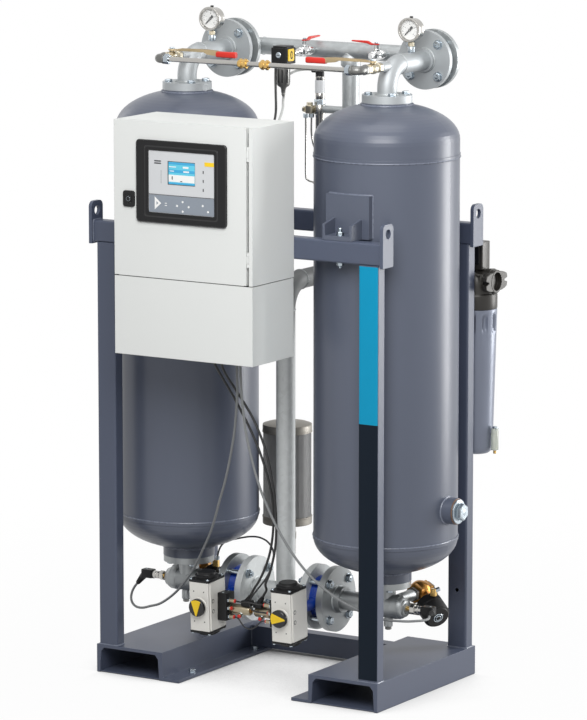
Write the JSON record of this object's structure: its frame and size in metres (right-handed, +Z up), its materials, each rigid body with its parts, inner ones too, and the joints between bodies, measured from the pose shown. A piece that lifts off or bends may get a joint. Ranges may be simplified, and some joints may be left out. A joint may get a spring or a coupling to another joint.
{
  "type": "desiccant air dryer",
  "caption": "Skid-mounted compressed air dryer: tall pressure vessels side by side, valves and pipes above and below, control cabinet in front, prefilter at the back.",
  "frame": {"origin": "centre of the four floor anchor holes, at floor level", "axes": "+Z up, +Y from the cabinet towards the back, +X to the right as seen from the front"},
  "size_m": [1.152, 0.888, 1.859],
  "materials": {
    "frame_paint": "satin paint",
    "vessel_paint": "satin paint",
    "desiccant": "beads",
    "steel": "stainless",
    "zinc": "zinc plated",
    "galvanised": "galvanised",
    "brass": "as machined",
    "red_grip": "sleeve",
    "dark_steel": "plated",
    "chrome": "polished",
    "glass": "clear",
    "black_plastic": "matte",
    "white_paint": "powder coat",
    "grey_plastic": "matte",
    "blue_paint": "epoxy",
    "white_body": "coated",
    "dark_cast": "painted casting",
    "bowl_paint": "painted",
    "grey_cable": "sheath",
    "black_cable": "sheath"
  },
  "bodies": {
    "frame": {"left_skid": "frame_paint", "right_skid": "frame_paint", "cross_member": "frame_paint", "corner_posts": "frame_paint", "top_beams": "frame_paint", "lifting_lugs": "frame_paint", "left_tower": "vessel_paint", "right_tower": "vessel_paint", "desiccant_beds": "desiccant", "bed_screens": "steel", "fill_plugs": "zinc", "outlet_elbows": "galvanised", "check_valves": "steel", "outlet_header": "galvanised", "flange_bolts": "zinc", "purge_tube": "steel", "purge_fittings": "dark_steel", "purge_valves": "brass", "gauge_cases": "steel", "gauge_windows": "glass", "pilot_filter": "black_plastic", "pilot_bowl": "dark_steel", "pilot_valves": "chrome", "dew_point_sensor": "steel", "cabinet_body": "white_paint", "lower_cover": "white_paint", "mounting_plate": "zinc", "control_modules": "grey_plastic", "inlet_tees": "galvanised", "inlet_pipe": "galvanised", "butterfly_bodies": "blue_paint", "actuator_bodies": "white_body", "actuator_caps": "black_plastic", "pilot_solenoids": "black_plastic", "pressure_transducers": "steel", "exhaust_valves": "brass", "exhaust_actuators": "black_plastic", "silencer": "dark_steel", "prefilter_head": "dark_cast", "prefilter_bowl": "bowl_paint", "left_transducer_cable": "grey_cable", "right_transducer_cable": "grey_cable", "left_solenoid_cable": "black_cable", "right_solenoid_cable": "black_cable", "dew_point_cable": "grey_cable", "pilot_hose": "black_cable"},
    "left_disc_body": {"left_check_disc": "steel"},
    "right_disc_body": {"right_check_disc": "steel"},
    "left_purge_handle": {"left_purge_lever": "red_grip"},
    "right_purge_handle": {"right_purge_lever": "red_grip"},
    "left_pointer": {"left_gauge_pointer": "black_plastic"},
    "right_pointer": {"right_gauge_pointer": "black_plastic"},
    "pilot_handle": {"pilot_lever": "red_grip"},
    "sample_handle": {"sample_lever": "red_grip"},
    "door": {"cabinet_door": "white_paint", "display_bezel": "black_plastic", "display_panel": "grey_plastic"},
    "latch": {"door_latch": "black_plastic"},
    "left_spindle": {"left_valve_spindle": "steel"},
    "right_spindle": {"right_valve_spindle": "steel"}
  },
  "joints": [
    {"name": "left_check_lift", "type": "slide", "parent": "frame", "child": "left_disc_body", "axis": [0, 1, 0], "range_m": [0, 0.012], "stiffness_N_per_m": 200},
    {"name": "right_check_lift", "type": "slide", "parent": "frame", "child": "right_disc_body", "axis": [0, 1, 0], "range_m": [0, 0.012], "stiffness_N_per_m": 200},
    {"name": "left_purge_turn", "type": "hinge", "parent": "frame", "child": "left_purge_handle", "pos_m": [-0.325, -0.075, 1.749], "axis": [0, 0, -1], "range_deg": [0, 90]},
    {"name": "right_purge_turn", "type": "hinge", "parent": "frame", "child": "right_purge_handle", "pos_m": [0.325, -0.075, 1.749], "axis": [0, 0, 1], "range_deg": [0, 90]},
    {"name": "left_pointer_turn", "type": "hinge", "parent": "frame", "child": "left_pointer", "pos_m": [-0.325, 0.119, 1.822], "axis": [0, 1, 0], "range_deg": [0, 270]},
    {"name": "right_pointer_turn", "type": "hinge", "parent": "frame", "child": "right_pointer", "pos_m": [0.325, 0.119, 1.822], "axis": [0, 1, 0], "range_deg": [0, 270]},
    {"name": "pilot_turn", "type": "hinge", "parent": "frame", "child": "pilot_handle", "pos_m": [-0.086, 0.239, 1.763], "axis": [0, 0, 1], "range_deg": [0, 90]},
    {"name": "sample_turn", "type": "hinge", "parent": "frame", "child": "sample_handle", "pos_m": [0.15, 0.239, 1.763], "axis": [0, 0, -1], "range_deg": [0, 90]},
    {"name": "door_hinge", "type": "hinge", "parent": "frame", "child": "door", "pos_m": [0.1755, -0.473, 1.388], "axis": [0, 0, 1], "range_deg": [0, 100]},
    {"name": "latch_turn", "type": "hinge", "parent": "door", "child": "latch", "pos_m": [-0.202, -0.46, 1.387], "axis": [0, -1, 0], "range_deg": [0, 90]},
    {"name": "left_valve_turn", "type": "hinge", "parent": "frame", "child": "left_spindle", "pos_m": [-0.134, 0, 0.232], "axis": [0, 0.9986, 0.0523], "range_deg": [0, 90]},
    {"name": "right_valve_turn", "type": "hinge", "parent": "frame", "child": "right_spindle", "pos_m": [0.134, 0, 0.232], "axis": [0, 0.9986, 0.0523], "range_deg": [0, 90]}
  ]
}
